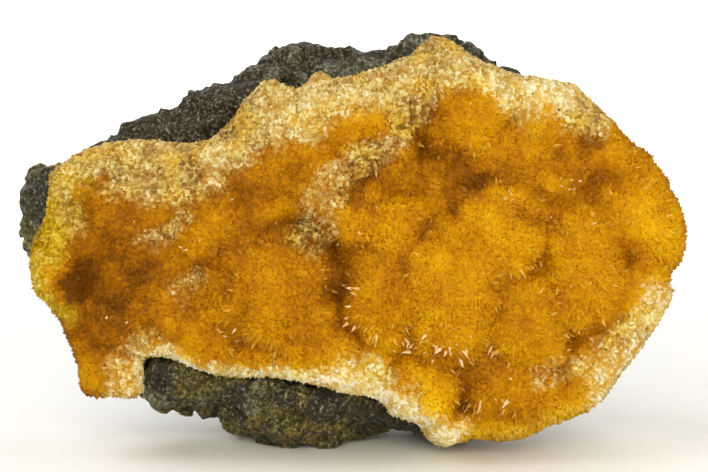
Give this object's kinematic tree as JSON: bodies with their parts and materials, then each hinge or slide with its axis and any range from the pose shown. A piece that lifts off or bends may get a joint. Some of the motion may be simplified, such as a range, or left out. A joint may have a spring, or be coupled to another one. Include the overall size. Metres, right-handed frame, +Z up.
{
  "type": "calcite crystal cluster",
  "caption": "Hand-sized mineral specimen: a crust of golden orange dogtooth calcite sprays on a slab of dark volcanic rock, standing on its broken foot.",
  "frame": {"origin": "centre of the specimen's bounding box in plan, at the height of the flat broken foot it stands on", "axes": "+X across the slab to the viewer's right, +Y away from the crystal face, +Z up; the crystal face looks towards -Y and leans back 8 degrees"},
  "size_m": [0.119, 0.0482, 0.0733],
  "materials": {
    "dark_volcanic_rock": "matte, rough broken surface, grey-black with olive-brown patches",
    "golden_calcite": "translucent glassy crystals, golden orange with pale cream rims"
  },
  "bodies": {
    "root": {"matrix_rock": "dark_volcanic_rock", "calcite_crust": "golden_calcite"}
  },
  "joints": []
}
